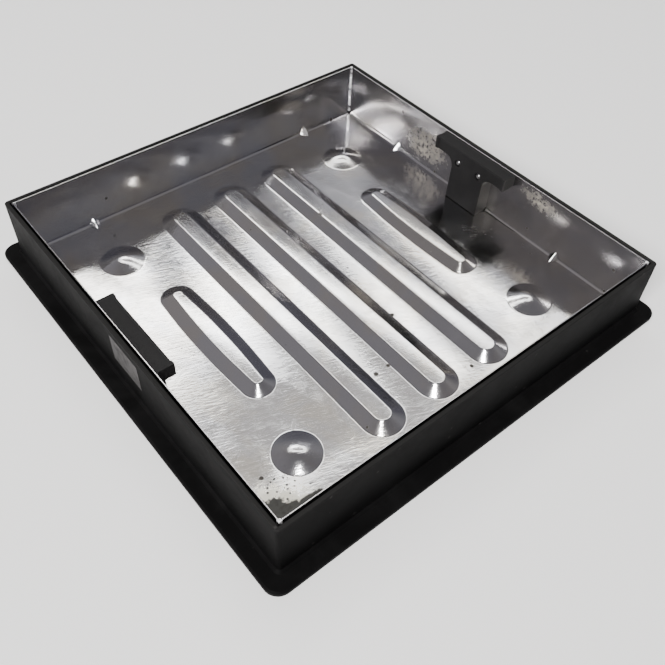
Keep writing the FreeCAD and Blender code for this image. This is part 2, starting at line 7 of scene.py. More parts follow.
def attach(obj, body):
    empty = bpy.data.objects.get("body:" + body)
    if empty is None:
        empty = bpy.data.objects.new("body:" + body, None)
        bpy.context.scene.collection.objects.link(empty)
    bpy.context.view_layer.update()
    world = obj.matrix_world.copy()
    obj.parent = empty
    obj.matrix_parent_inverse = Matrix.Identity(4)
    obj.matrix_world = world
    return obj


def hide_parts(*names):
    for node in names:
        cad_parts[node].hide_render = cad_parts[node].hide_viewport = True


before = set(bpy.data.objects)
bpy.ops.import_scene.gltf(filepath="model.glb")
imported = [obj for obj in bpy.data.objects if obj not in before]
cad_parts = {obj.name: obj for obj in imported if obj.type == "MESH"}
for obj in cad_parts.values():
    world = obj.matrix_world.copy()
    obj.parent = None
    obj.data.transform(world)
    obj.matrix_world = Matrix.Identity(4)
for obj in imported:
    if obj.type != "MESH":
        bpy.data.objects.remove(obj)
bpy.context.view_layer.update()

MM = 0.001
FLOOR_LEVEL = 5.0         # top of the tray's floor, millimetres above the frame's underside
RIM_LEVEL = 80.0
INSIDE = 251.5            # half the tray's inside width
BEND = 5.0                # inside radius between floor and walls
GAUGE = 1.5
RISE = 7.0                # ribs above the floor
RIB_WIDE = 50.0
RIB_LONG = 430.0
RIB_PITCH = 77.0
RIB_SLOPE = 15.0
LENS_WIDE = 49.0          # across its middle
LENS_TIP = 37.0           # across its ends
LENS_LONG = 194.0
LENS_PLACE = 152.0        # from the tray's middle
LENS_SLOPE = 14.0
DOME_RADIUS = 26.5
DOME_RISE = 6.0
DOME_PLACE = 171.5        # from the tray's middle, both ways
FOOT_RADIUS = 6.0
CROWN_RADIUS = 6.0
MERGE = 0.08              # points nearer than this become one
RIM_EDGE = 0.35           # bevel along the rim
RELIEF = 3.4              # opening in the floor's corners
DART_SIDE = 143.0         # darts from the middle of the walls that carry the housings
DART_END = 166.0          # the same on the other two walls
TURN = math.pi / 180


# Selecting and shaping

def start_piece():
    """Nothing selected, object mode: what an operator makes next stands alone."""
    if bpy.context.object and bpy.context.object.mode != "OBJECT":
        bpy.ops.object.mode_set(mode="OBJECT")
    bpy.ops.object.select_all(action="DESELECT")


def pick(obj, kind, test):
    """Selects the vertices, edges or faces of a mesh that pass a test on their place in millimetres."""
    bpy.ops.object.mode_set(mode="EDIT")
    modes = {"VERT": "vertices", "EDGE": "edges", "FACE": "polygons"}
    bpy.ops.mesh.select_mode(type=kind)
    bpy.ops.mesh.select_all(action="DESELECT")
    bpy.ops.object.mode_set(mode="OBJECT")
    mesh = obj.data
    for item in getattr(mesh, modes[kind]):
        if kind == "VERT":
            points = [item.co / MM]
        else:
            points = [mesh.vertices[i].co / MM for i in item.vertices]
        if test(points):
            item.select = True
    bpy.ops.object.mode_set(mode="EDIT")


def leave():
    bpy.ops.object.mode_set(mode="OBJECT")


def only(obj):
    start_piece()
    obj.select_set(True)
    bpy.context.view_layer.objects.active = obj


def settle(obj):
    """Puts the object's place into its mesh."""
    only(obj)
    bpy.ops.object.transform_apply(location=True, rotation=True, scale=True)
    return obj


def apply_modifier(obj, kind, name, **values):
    only(obj)
    modifier = obj.modifiers.new(name, kind)
    for key, value in values.items():
        setattr(modifier, key, value)
    bpy.ops.object.modifier_apply(modifier=modifier.name)


def join(main, others):
    only(main)
    for other in others:
        other.select_set(True)
    bpy.ops.object.join()


def copy_to(obj, name, across, along, turned=0.0):
    """A copy with its own mesh, moved in millimetres and turned about Z."""
    twin = obj.copy()
    twin.data = obj.data.copy()
    twin.name = name
    bpy.context.collection.objects.link(twin)
    twin.rotation_euler = (0, 0, turned * TURN)
    twin.location = (across * MM, along * MM, 0)
    return settle(twin)


# The pressed tray

def press_steps(width, rise, steps=4):
    """Offsets and heights of a pressed slope: round foot, straight side, round crown edge."""
    lean = math.atan2(rise, width)
    foot = FOOT_RADIUS * math.tan(lean / 2)
    crown = CROWN_RADIUS * math.tan(lean / 2)
    points = []
    for i in range(steps + 1):
        a = lean * i / steps
        points.append((-foot + FOOT_RADIUS * math.sin(a), FOOT_RADIUS * (1 - math.cos(a))))
    for i in range(steps + 1):
        a = lean * (1 - i / steps)
        points.append((width + crown - CROWN_RADIUS * math.sin(a), rise - CROWN_RADIUS * (1 - math.cos(a))))
    return points


def press_face(points):
    """Presses the one selected face up along a list of offsets and heights."""
    for (x0, z0), (x1, z1) in zip(points, points[1:]):
        bpy.ops.mesh.inset(thickness=(x1 - x0) * MM, depth=(z1 - z0) * MM, use_boundary=True,
                           use_even_offset=True)


def flat_form(name, width, length):
    start_piece()
    bpy.ops.mesh.primitive_plane_add(size=1, location=(0, 0, FLOOR_LEVEL * MM))
    form = bpy.context.object
    form.name = name
    form.scale = (width * MM, length * MM, 1)
    return settle(form)


def long_rib():
    """A straight rib with half-round ends, along Y."""
    start = press_steps(RIB_SLOPE, RISE)
    grow = -start[0][0]
    form = flat_form("long_rib", RIB_WIDE + 2 * grow, RIB_LONG + 2 * grow)
    pick(form, "VERT", lambda p: True)
    bpy.ops.mesh.bevel(offset=(RIB_WIDE / 2 + grow - 0.02) * MM, segments=24, affect="VERTICES")
    bpy.ops.mesh.select_all(action="SELECT")
    bpy.ops.mesh.remove_doubles(threshold=MERGE * MM)
    bpy.ops.mesh.select_all(action="SELECT")
    press_face(start)
    leave()
    return form


def lens_rib():
    """A short rib with slightly bellied sides: widest in the middle, with a soft bend there."""
    start = press_steps(LENS_SLOPE, RISE)
    grow = -start[0][0]
    side_bend, tip_bend = 46.0, 17.5 + grow
    form = flat_form("lens_rib", LENS_TIP + 2 * grow, LENS_LONG + 2 * grow)
    pick(form, "EDGE", lambda p: abs(p[0].x - p[1].x) < 1e-3)
    bpy.ops.mesh.subdivide(number_cuts=1)
    leave()
    pick(form, "VERT", lambda p: abs(p[0].y) < 1e-3)
    side = (LENS_WIDE + 2 * grow) / (LENS_TIP + 2 * grow)
    bpy.ops.transform.resize(value=(side, 1, 1))
    leave()
    pick(form, "FACE", lambda p: True)
    bpy.ops.mesh.dissolve_faces()
    leave()
    pick(form, "VERT", lambda p: abs(p[0].y) < 1e-3)
    bpy.ops.mesh.bevel(offset=side_bend * MM, segments=10, affect="VERTICES")
    leave()
    pick(form, "VERT", lambda p: abs(p[0].y) > 0.45 * LENS_LONG)
    bpy.ops.mesh.bevel(offset=tip_bend * MM, segments=18, affect="VERTICES")
    bpy.ops.mesh.select_all(action="SELECT")
    bpy.ops.mesh.remove_doubles(threshold=MERGE * MM)
    bpy.ops.mesh.select_all(action="SELECT")
    press_face(start)
    leave()
    return form


def dome():
    """A shallow round dome with a soft foot and a crown rounder than its sides."""
    radius, rise = DOME_RADIUS, DOME_RISE
    round_share = 0.65
    rings, first_ring, last_ring = 22, 25.0, 0.6
    ball = (radius ** 2 + rise ** 2) / (2 * rise)
    lean = math.atan(round_share * radius / (ball - rise))
    foot = FOOT_RADIUS * math.tan(lean / 2)
    points = []
    for i in range(4):
        a = lean * i / 3
        points.append((-foot + FOOT_RADIUS * math.sin(a), FOOT_RADIUS * (1 - math.cos(a))))
    for i in range(rings):
        away = first_ring - (first_ring - last_ring) * i / (rings - 1)
        cap = math.sqrt(ball ** 2 - away ** 2) - (ball - rise)
        bell = rise * (1 + math.cos(math.pi * away / radius)) / 2
        points.append((radius - away, round_share * cap + (1 - round_share) * bell))
    start_piece()
    bpy.ops.mesh.primitive_circle_add(vertices=72, radius=(radius + foot) * MM, fill_type="NGON",
                                      location=(0, 0, FLOOR_LEVEL * MM))
    form = settle(bpy.context.object)
    form.name = "dome"
    pick(form, "FACE", lambda p: True)
    press_face(points)
    bpy.ops.mesh.poke()
    leave()
    return form


def dart():
    """A small dart across the bend of the +X wall, at Y = 0: a folded diamond from wall to floor."""
    reach, half, sunk, fold_edge = 10.0, 7.5, 1.0, 0.9
    start_piece()
    bpy.ops.mesh.primitive_circle_add(vertices=4, radius=1, fill_type="TRIFAN",
                                      location=((INSIDE - reach / 2) * MM, 0, (FLOOR_LEVEL + reach / 2) * MM),
                                      rotation=(0, -math.pi / 4, 0))
    form = bpy.context.object
    form.name = "dart"
    form.scale = (reach / math.sqrt(2) * MM, half * MM, 1)
    settle(form)
    to_bend = reach / 2 - BEND * (1 - math.cos(math.pi / 4)) + sunk / 2
    pick(form, "VERT", lambda p: abs(p[0].y) > half / 2)
    bpy.ops.transform.translate(value=(to_bend * MM, 0, -to_bend * MM))
    bpy.ops.mesh.select_all(action="SELECT")
    bpy.ops.mesh.extrude_region_move(TRANSFORM_OT_translate={"value": (sunk * MM, 0, -sunk * MM)})
    bpy.ops.mesh.select_all(action="SELECT")
    bpy.ops.mesh.normals_make_consistent(inside=False)
    leave()
    pick(form, "EDGE", lambda p: abs(p[0].y) + abs(p[1].y) < 0.01
         and min(p[0].z, p[1].z) > FLOOR_LEVEL - 0.1)
    bpy.ops.mesh.bevel(offset=fold_edge * MM, segments=3, affect="EDGES")
    leave()
    return form


def weld_bead():
    """The run of weld up the inside of the corner at +X +Y, uneven along its height."""
    low, high, radius = FLOOR_LEVEL + BEND, RIM_LEVEL - 0.8, 1.5
    place = (INSIDE - 0.5) * MM
    start_piece()
    bpy.ops.mesh.primitive_cylinder_add(vertices=10, radius=radius * MM, depth=(high - low) * MM,
                                        location=(place, place, (low + high) / 2 * MM))
    form = settle(bpy.context.object)
    form.name = "weld_bead"
    rings = 34
    for ring in range(1, rings):
        level = low + (high - low) * ring / rings
        pick(form, "FACE", lambda p: True)
        bpy.ops.mesh.bisect(plane_co=(0, 0, level * MM), plane_no=(0, 0, 1))
    leave()
    pick(form, "VERT", lambda p: low + 0.1 < p[0].z < high - 0.1)
    bpy.ops.transform.vertex_random(offset=0.42 * MM, uniform=0.4, normal=0.6, seed=5)
    leave()
    return form


def floor_sheet(forms):
    """The flat floor between the pressed forms, and the four walls drawn up from its edge."""
    half = INSIDE - BEND
    start_piece()
    bpy.ops.mesh.primitive_circle_add(vertices=4, radius=half * math.sqrt(2) * MM, fill_type="NOTHING",
                                      location=(0, 0, FLOOR_LEVEL * MM), rotation=(0, 0, math.pi / 4))
    sheet = settle(bpy.context.object)
    sheet.name = "steel_tray"
    join(sheet, forms)
    pick(sheet, "EDGE", lambda p: False)
    bpy.ops.mesh.select_non_manifold(extend=False, use_wire=True, use_boundary=True, use_multi_face=False,
                                     use_non_contiguous=False, use_verts=False)
    bpy.ops.mesh.fill(use_beauty=True)
    bpy.ops.mesh.select_all(action="SELECT")
    bpy.ops.mesh.normals_make_consistent(inside=False)
    leave()
    if sum(face.normal.z * face.area for face in sheet.data.polygons) < 0:
        pick(sheet, "FACE", lambda p: True)
        bpy.ops.mesh.flip_normals()
        leave()
    pick(sheet, "EDGE", lambda p: max(abs(p[0].x + p[1].x), abs(p[0].y + p[1].y)) > 2 * half - 0.01
         and (abs(p[0].x - p[1].x) < 0.01 or abs(p[0].y - p[1].y) < 0.01))
    place = half
    level = FLOOR_LEVEL
    steps = []
    for i in range(1, 8):
        a = math.pi / 2 * i / 7
        steps.append((half + BEND * math.sin(a), FLOOR_LEVEL + BEND * (1 - math.cos(a))))
    steps.append((INSIDE, RIM_LEVEL / 2))
    steps.append((INSIDE, RIM_LEVEL))
    for out, up in steps:
        bpy.ops.mesh.extrude_region_move(TRANSFORM_OT_translate={"value": (0, 0, (up - level) * MM)})
        bpy.ops.transform.resize(value=(out / place, out / place, 1), center_override=(0, 0, 0))
        place, level = out, up
    leave()
    return sheet


def open_corners(sheet):
    """Cuts the small relief opening where the folded walls meet the floor's corner."""
    line = INSIDE - RELIEF
    for plane in ((1, 0), (-1, 0), (0, 1), (0, -1)):
        pick(sheet, "FACE", lambda p: max(max(abs(c.x), abs(c.y)) for c in p) > INSIDE - BEND - 0.01)
        bpy.ops.mesh.bisect(plane_co=(plane[0] * line * MM, plane[1] * line * MM, 0),
                            plane_no=(plane[0], plane[1], 0))
        leave()
    pick(sheet, "FACE", lambda p: min(abs(sum(c.x for c in p)), abs(sum(c.y for c in p))) > line * len(p)
         and max(c.z for c in p) < FLOOR_LEVEL + BEND + 0.01)
    bpy.ops.mesh.delete(type="FACE")
    leave()


def steel_tray():
    """The whole pressed tray as one sheet with thickness, welded corners and darts."""
    rib = long_rib()
    lens = lens_rib()
    button = dome()
    forms = []
    for place in (-RIB_PITCH, 0, RIB_PITCH):
        forms.append(copy_to(rib, "rib_form", place, 0))
    for place in (-LENS_PLACE, LENS_PLACE):
        forms.append(copy_to(lens, "lens_form", place, 0))
    for across in (-DOME_PLACE, DOME_PLACE):
        for along in (-DOME_PLACE, DOME_PLACE):
            forms.append(copy_to(button, "dome_form", across, along))
    for first in (rib, lens, button):
        bpy.data.objects.remove(first)
    sheet = floor_sheet(forms)
    open_corners(sheet)
    apply_modifier(sheet, "SOLIDIFY", "gauge", thickness=GAUGE * MM, offset=-1.0, use_even_offset=True)
    pick(sheet, "EDGE", lambda p: min(p[0].z, p[1].z) > RIM_LEVEL - 0.2)
    bpy.ops.mesh.bevel(offset=RIM_EDGE * MM, segments=2, affect="EDGES")
    leave()
    fold = dart()
    bead = weld_bead()
    small = []
    for turned in (0, 90, 180, 270):
        place = DART_SIDE if turned % 180 == 0 else DART_END
        for sign in (-1, 1):
            across, along = (0, sign * place) if turned % 180 == 0 else (sign * place, 0)
            small.append(copy_to(fold, "dart_copy", across, along, turned))
        small.append(copy_to(bead, "bead_copy", 0, 0, turned))
    bpy.data.objects.remove(fold)
    bpy.data.objects.remove(bead)
    join(sheet, small)
    only(sheet)
    bpy.ops.object.shade_smooth_by_angle(angle=30 * TURN)
    return sheet


# Shared effects

def add(tree, kind, inputs=None, **settings):
    """A shader node with its settings; each input is a plain value or the socket that feeds it."""
    made = tree.nodes.new("ShaderNode" + kind)
    for key, value in settings.items():
        setattr(made, key, value)
    for key, value in (inputs or {}).items():
        if isinstance(value, bpy.types.NodeSocket):
            tree.links.new(value, made.inputs[key])
        else:
            made.inputs[key].default_value = value
    return made


def new_group(name, inputs, outputs):
    """An empty shader group with named sockets, and its two end nodes."""
    tree = bpy.data.node_groups.new(name, "ShaderNodeTree")
    for label, kind, value in inputs:
        socket = tree.interface.new_socket(label, in_out="INPUT", socket_type="NodeSocket" + kind)
        if value is not None:
            socket.default_value = value
    for label, kind in outputs:
        tree.interface.new_socket(label, in_out="OUTPUT", socket_type="NodeSocket" + kind)
    return tree, tree.nodes.new("NodeGroupInput"), tree.nodes.new("NodeGroupOutput")


def place_group(tree, group, inputs):
    made = tree.nodes.new("ShaderNodeGroup")
    made.node_tree = group
    for key, value in inputs.items():
        if isinstance(value, bpy.types.NodeSocket):
            tree.links.new(value, made.inputs[key])
        else:
            made.inputs[key].default_value = value
    return made


def streak_group():
    """Long uneven marks that run one way in the surface: rolling lines, wiped dust, drawn zinc."""
    tree, start, end = new_group("streaks", [
        ("Vector", "Vector", None), ("Turn", "Float", 0.0), ("Length", "Float", 0.012),
        ("Width", "Float", 0.002), ("Bend", "Float", 0.3)], [("Value", "Float")])
    turned = add(tree, "VectorRotate", {"Vector": start.outputs["Vector"], "Angle": start.outputs["Turn"]},
                 rotation_type="Z_AXIS")
    along = add(tree, "Math", {0: 1.0, 1: start.outputs["Length"]}, operation="DIVIDE")
    across = add(tree, "Math", {0: 1.0, 1: start.outputs["Width"]}, operation="DIVIDE")
    scale = add(tree, "CombineXYZ", {"X": along.outputs[0], "Y": across.outputs[0], "Z": across.outputs[0]})
    laid = add(tree, "VectorMath", {0: turned.outputs[0], 1: scale.outputs[0]}, operation="MULTIPLY")
    noise = add(tree, "TexNoise", {"Vector": laid.outputs[0], "Scale": 1.0, "Detail": 3.0, "Roughness": 0.55,
                                   "Distortion": start.outputs["Bend"]})
    tree.links.new(noise.outputs["Fac"], end.inputs["Value"])
    return tree


def patch_group():
    """Soft-edged patches: a noise of a given size, cut between two levels."""
    tree, start, end = new_group("patches", [
        ("Vector", "Vector", None), ("Size", "Float", 0.05), ("Low", "Float", 0.45), ("High", "Float", 0.6)],
        [("Mask", "Float")])
    scale = add(tree, "Math", {0: 1.0, 1: start.outputs["Size"]}, operation="DIVIDE")
    noise = add(tree, "TexNoise", {"Vector": start.outputs["Vector"], "Scale": scale.outputs[0], "Detail": 4.0,
                                   "Roughness": 0.6, "Distortion": 0.4})
    cut = add(tree, "MapRange", {"Value": noise.outputs["Fac"], "From Min": start.outputs["Low"],
                                 "From Max": start.outputs["High"]}, interpolation_type="SMOOTHSTEP")
    tree.links.new(cut.outputs["Result"], end.inputs["Mask"])
    return tree


def spot_group():
    """A round or oval area round one place in the plan, with a ragged edge."""
    tree, start, end = new_group("spot", [
        ("Vector", "Vector", None), ("X", "Float", 0.0), ("Y", "Float", 0.0), ("Wide", "Float", 0.02),
        ("Long", "Float", 0.02), ("Turn", "Float", 0.0), ("Ragged", "Float", 0.5), ("Soft", "Float", 0.3)],
        [("Mask", "Float")])
    place = add(tree, "CombineXYZ", {"X": start.outputs["X"], "Y": start.outputs["Y"]})
    away = add(tree, "VectorMath", {0: start.outputs["Vector"], 1: place.outputs[0]}, operation="SUBTRACT")
    turned = add(tree, "VectorRotate", {"Vector": away.outputs[0], "Angle": start.outputs["Turn"]},
                 rotation_type="Z_AXIS")
    size = add(tree, "CombineXYZ", {"X": start.outputs["Wide"], "Y": start.outputs["Long"], "Z": 1.0})
    shape = add(tree, "VectorMath", {0: turned.outputs[0], 1: size.outputs[0]}, operation="DIVIDE")
    flat = add(tree, "VectorMath", {0: shape.outputs[0], 1: (1.0, 1.0, 0.0)}, operation="MULTIPLY")
    length = add(tree, "VectorMath", {0: flat.outputs[0]}, operation="LENGTH")
    noise = add(tree, "TexNoise", {"Vector": start.outputs["Vector"], "Scale": 110.0, "Detail": 4.0,
                                   "Roughness": 0.65})
    lift = add(tree, "Math", {0: noise.outputs["Fac"], 1: 0.5}, operation="SUBTRACT")
    rough = add(tree, "Math", {0: lift.outputs[0], 1: start.outputs["Ragged"], 2: length.outputs["Value"]},
                operation="MULTIPLY_ADD")
    inner = add(tree, "Math", {0: 1.0, 1: start.outputs["Soft"]}, operation="SUBTRACT")
    cut = add(tree, "MapRange", {"Value": rough.outputs[0], "From Min": 1.0, "From Max": inner.outputs[0]},
              interpolation_type="SMOOTHSTEP")
    tree.links.new(cut.outputs["Result"], end.inputs["Mask"])
    return tree


def speck_group():
    """Small grains of grit or dust scattered over the surface, more or fewer as asked."""
    tree, start, end = new_group("specks", [
        ("Vector", "Vector", None), ("Size", "Float", 0.004), ("Share", "Float", 0.2)], [("Mask", "Float")])
    scale = add(tree, "Math", {0: 1.0, 1: start.outputs["Size"]}, operation="DIVIDE")
    cell = add(tree, "TexVoronoi", {"Vector": start.outputs["Vector"], "Scale": scale.outputs[0]})
    draw = add(tree, "SeparateColor", {"Color": cell.outputs["Color"]})
    chosen = add(tree, "Math", {0: draw.outputs["Red"], 1: start.outputs["Share"]}, operation="LESS_THAN")
    radius = add(tree, "Math", {0: draw.outputs["Green"], 1: 0.28, 2: 0.12}, operation="MULTIPLY_ADD")
    near = add(tree, "Math", {0: radius.outputs[0], 1: cell.outputs["Distance"]}, operation="SUBTRACT")
    cut = add(tree, "MapRange", {"Value": near.outputs[0], "From Min": 0.0, "From Max": 0.12},
              interpolation_type="SMOOTHSTEP")
    mask = add(tree, "Math", {0: cut.outputs["Result"], 1: chosen.outputs[0]}, operation="MULTIPLY")
    tree.links.new(mask.outputs[0], end.inputs["Mask"])
    return tree


def new_material(name):
    """A material with its shader, its output and the object's own coordinates."""
    material = bpy.data.materials.new(name)
    material.use_nodes = True
    tree = material.node_tree
    tree.nodes.clear()
    shader = tree.nodes.new("ShaderNodeBsdfPrincipled")
    output = tree.nodes.new("ShaderNodeOutputMaterial")
    tree.links.new(shader.outputs["BSDF"], output.inputs["Surface"])
    place = tree.nodes.new("ShaderNodeTexCoord").outputs["Object"]
    return material, tree, shader, place


def blend(tree, amount, first, second):
    """Mixes two colours, or a colour and what feeds it, by a mask."""
    mixed = add(tree, "Mix", {"Factor": amount}, data_type="RGBA")
    for key, value in (("A", first), ("B", second)):
        socket = next(s for s in mixed.inputs if s.name == key and s.type == "RGBA")
        if isinstance(value, bpy.types.NodeSocket):
            tree.links.new(value, socket)
        else:
            socket.default_value = (*value, 1.0)
    return next(s for s in mixed.outputs if s.type == "RGBA")


def calc(tree, operation, *values):
    return add(tree, "Math", dict(enumerate(values)), operation=operation).outputs[0]


# Materials

def zinc_sheet(effects):
    """Half-bright galvanised sheet with drawn streaks, light dirt and a dark wet-looking corner, painted shade
    on its walls, and on its floor a painted reflection of the right housing and the painted shade of a small
    dent.
    """
    material, tree, shader, place = new_material("galvanised_sheet")
    cool_zinc, warm_zinc, drawn_zinc = (0.62, 0.62, 0.64), (0.66, 0.635, 0.60), (0.45, 0.45, 0.46)
    painted_wall_shade, bright_weld = (0.26, 0.25, 0.26), (0.85, 0.85, 0.86)
    brown_stain, cream_dust = (0.66, 0.6, 0.48), (0.86, 0.83, 0.72)
    dirt_reflection_and_dent_shade, wet_dirt = (0.07, 0.065, 0.06), (0.05, 0.049, 0.046)

    def streaks(turn, length, width, bend):
        return place_group(tree, effects["streaks"], {"Vector": place, "Turn": turn * TURN, "Length": length,
                                                      "Width": width, "Bend": bend}).outputs[0]

    def patches(size, low, high):
        return place_group(tree, effects["patches"], {"Vector": place, "Size": size, "Low": low,
                                                      "High": high}).outputs[0]

    def spot(x, y, wide, long, turn=0.0, ragged=0.5, soft=0.3, seen=place):
        return place_group(tree, effects["spot"], {
            "Vector": seen, "X": x * MM, "Y": y * MM, "Wide": wide * MM, "Long": long * MM,
            "Turn": turn * TURN, "Ragged": ragged, "Soft": soft}).outputs[0]

    def beyond(value, low, high):
        cut = add(tree, "MapRange", {"Value": value, "From Min": low * MM, "From Max": high * MM})
        return cut.outputs["Result"]

    axes = add(tree, "SeparateXYZ", {"Vector": place}).outputs
    wall_place = add(tree, "CombineXYZ", {"X": axes["Y"], "Y": axes["Z"]}).outputs[0]
    on_right_wall = beyond(axes["X"], INSIDE - 1.5, INSIDE - 0.8)
    in_corner = calc(tree, "MINIMUM", beyond(calc(tree, "ABSOLUTE", axes["X"]), INSIDE - 2.4, INSIDE - 1.4),
                     beyond(calc(tree, "ABSOLUTE", axes["Y"]), INSIDE - 2.4, INSIDE - 1.4))
    in_corner = calc(tree, "MULTIPLY", in_corner, patches(0.007, 0.38, 0.56))

    drawn = streaks(20, 0.013, 0.0021, 0.5)
    fine = streaks(16, 0.006, 0.0007, 0.2)
    wavy = patches(0.045, 0.2, 0.8)
    warm = patches(0.09, 0.42, 0.62)
    colour = blend(tree, warm, cool_zinc, warm_zinc)
    colour = blend(tree, calc(tree, "MULTIPLY", fine, 0.35), colour, drawn_zinc)

    on_walls = beyond(axes["Z"], 11.0, 16.0)
    # Painted shade: all walls are blended a fifth of the way toward a dark grey, the +X wall four fifths of the
    # way.
    shaded = calc(tree, "MULTIPLY_ADD", on_right_wall, 0.6, calc(tree, "MULTIPLY", on_walls, 0.2))
    colour = blend(tree, shaded, colour, painted_wall_shade)
    stained = calc(tree, "MAXIMUM", spot(90, 38, 48, 34, 0, 0.9, 0.8, wall_place),
                   spot(-102, 66, 40, 15, -4, 0.9, 0.8, wall_place))
    stained = calc(tree, "MULTIPLY", calc(tree, "MULTIPLY", stained, on_right_wall), patches(0.005, 0.25, 0.85))
    colour = blend(tree, stained, colour, brown_stain)
    on_floor = calc(tree, "SUBTRACT", 1.0, on_walls)
    cream = calc(tree, "MULTIPLY", spot(-214, -212, 66, 27, 45, 0.7, 0.7), patches(0.008, 0.3, 0.55))
    cream = calc(tree, "MULTIPLY", cream, on_floor)
    colour = blend(tree, cream, colour, cream_dust)
    colour = blend(tree, in_corner, colour, bright_weld)

    corner = calc(tree, "MAXIMUM", spot(-240, -240, 70, 46, 45, 0.5, 0.08),
                  spot(-193, -234, 32, 20, 0, 0.6, 0.08))
    corner = calc(tree, "MULTIPLY", corner, on_floor)
    grit_area = calc(tree, "MAXIMUM", spot(-206, -196, 46, 27, 45, 0.6, 0.5),
                     spot(-222, -131, 9, 11, 0, 0.6, 0.3))
    grit = place_group(tree, effects["specks"], {"Vector": place, "Size": 0.0042, "Share": 0.7}).outputs[0]
    grit = calc(tree, "MULTIPLY", grit, grit_area)
    few = place_group(tree, effects["specks"], {"Vector": place, "Size": 0.009, "Share": 0.02}).outputs[0]
    # Painted reflection: a dark streaky patch on the floor in front of the right housing stands for that
    # housing's blurred reflection.
    painted_housing_reflection = spot(212, -48, 42, 52, 0, 0.9, 0.8)
    painted_housing_reflection = calc(tree, "MULTIPLY", painted_housing_reflection, calc(tree, "MULTIPLY", streaks(35, 0.02, 0.0025, 0.6), 0.7))
    painted_housing_reflection = calc(tree, "MULTIPLY", painted_housing_reflection, on_floor)
    marks = calc(tree, "MAXIMUM", spot(-118, -108, 9, 7, 30, 1.2, 0.7), spot(-112, -132, 6, 8, 0, 1.2, 0.7))
    marks = calc(tree, "MULTIPLY", marks, 0.5)
    drip = calc(tree, "MULTIPLY", spot(-154, -143, 3, 9, 45, 0.6, 0.5), 0.6)
    # Painted shade: a small dark spot on the crown edge of the rib at X = +77 stands for the shading of a small
    # dent.
    painted_dent_shade = calc(tree, "MULTIPLY", spot(67, 90, 3.2, 4.2, 0, 0.3, 0.4), 0.8)
    marks = calc(tree, "MAXIMUM", marks, calc(tree, "MAXIMUM", drip, painted_dent_shade))
    # Real grit, specks and marks share one near-black colour with the painted housing reflection and the
    # painted dent shade.
    dark = calc(tree, "MAXIMUM", calc(tree, "MAXIMUM", grit, few), calc(tree, "MAXIMUM", painted_housing_reflection, marks))
    colour = blend(tree, dark, colour, dirt_reflection_and_dent_shade)
    colour = blend(tree, corner, colour, wet_dirt)
    tree.links.new(colour, shader.inputs["Base Color"])

    dusty = calc(tree, "MAXIMUM", calc(tree, "MAXIMUM", stained, cream), in_corner)
    tree.links.new(calc(tree, "MULTIPLY_ADD", dusty, -0.45, 1.0), shader.inputs["Metallic"])
    left_on_walls = calc(tree, "MULTIPLY_ADD", on_walls, -0.8, 1.0)
    grain = calc(tree, "MULTIPLY", drawn, left_on_walls)
    rough = calc(tree, "MULTIPLY_ADD", grain, 0.12, calc(tree, "MULTIPLY_ADD", on_walls, 0.1, 0.05))
    rough = calc(tree, "MULTIPLY_ADD", on_right_wall, 0.05, rough)
    rough = calc(tree, "MULTIPLY_ADD", patches(0.03, 0.4, 0.7), 0.04, rough)
    # Rougher where there is dirt or dust, and also under the painted reflection and painted dent shade.
    dirt_and_painted_marks = calc(tree, "MAXIMUM", calc(tree, "MAXIMUM", dark, corner), dusty)
    rough = calc(tree, "MULTIPLY_ADD", dirt_and_painted_marks, 0.35, rough)
    tree.links.new(rough, shader.inputs["Roughness"])

    height = calc(tree, "MULTIPLY_ADD", fine, 0.12, drawn)
    height = calc(tree, "MULTIPLY_ADD", wavy, 1.5, height)
    height = calc(tree, "MULTIPLY", height, left_on_walls)
    bump = add(tree, "Bump", {"Strength": 1.0, "Distance": 0.00006, "Height": height})
    tree.links.new(bump.outputs["Normal"], shader.inputs["Normal"])
    return material


def black_moulding(effects, name, colour, gloss, shine, grain, painted_top_sheen):
    """Matt moulded plastic with a fine skin, faint wipes, a painted sheen along the top edge and pale dust in
    places.
    """
    material, tree, shader, place = new_material(name)
    shader.inputs["Specular IOR Level"].default_value = gloss
    wipes = place_group(tree, effects["patches"], {"Vector": place, "Size": 0.06, "Low": 0.4,
                                                   "High": 0.7}).outputs[0]
    lighter = tuple(c * 2.0 + 0.002 for c in colour)
    tone = blend(tree, calc(tree, "MULTIPLY", wipes, 0.45), colour, lighter)
    level = add(tree, "SeparateXYZ", {"Vector": place}).outputs["Z"]
    # Painted sheen: the topmost band is lightened toward grey, as if it caught the light.
    top_sheen_band = add(tree, "MapRange", {"Value": level, "From Min": (RIM_LEVEL - 1.6) * MM,
                                      "From Max": (RIM_LEVEL - 0.4) * MM}).outputs["Result"]
    tone = blend(tree, calc(tree, "MULTIPLY", top_sheen_band, painted_top_sheen), tone, (0.12, 0.118, 0.115))
    dust = place_group(tree, effects["specks"], {"Vector": place, "Size": 0.006, "Share": 0.03}).outputs[0]
    tone = blend(tree, calc(tree, "MULTIPLY", dust, 0.12), tone, (0.16, 0.155, 0.15))
    tree.links.new(tone, shader.inputs["Base Color"])
    rough = calc(tree, "MULTIPLY_ADD", wipes, 0.14, shine)
    tree.links.new(rough, shader.inputs["Roughness"])
    skin = add(tree, "TexNoise", {"Vector": place, "Scale": 1 / grain, "Detail": 2.0, "Roughness": 0.5})
    bump = add(tree, "Bump", {"Strength": 0.5, "Distance": 0.00012, "Height": skin.outputs["Fac"]})
    tree.links.new(bump.outputs["Normal"], shader.inputs["Normal"])
    return material


def rivet_metal(effects):
    material, tree, shader, place = new_material("rivet_aluminium")
    shader.inputs["Metallic"].default_value = 1.0
    worn = place_group(tree, effects["patches"], {"Vector": place, "Size": 0.003, "Low": 0.35,
                                                  "High": 0.7}).outputs[0]
    tree.links.new(blend(tree, worn, (0.5, 0.5, 0.5), (0.25, 0.245, 0.24)), shader.inputs["Base Color"])
    tree.links.new(calc(tree, "MULTIPLY_ADD", worn, 0.2, 0.3), shader.inputs["Roughness"])
    return material


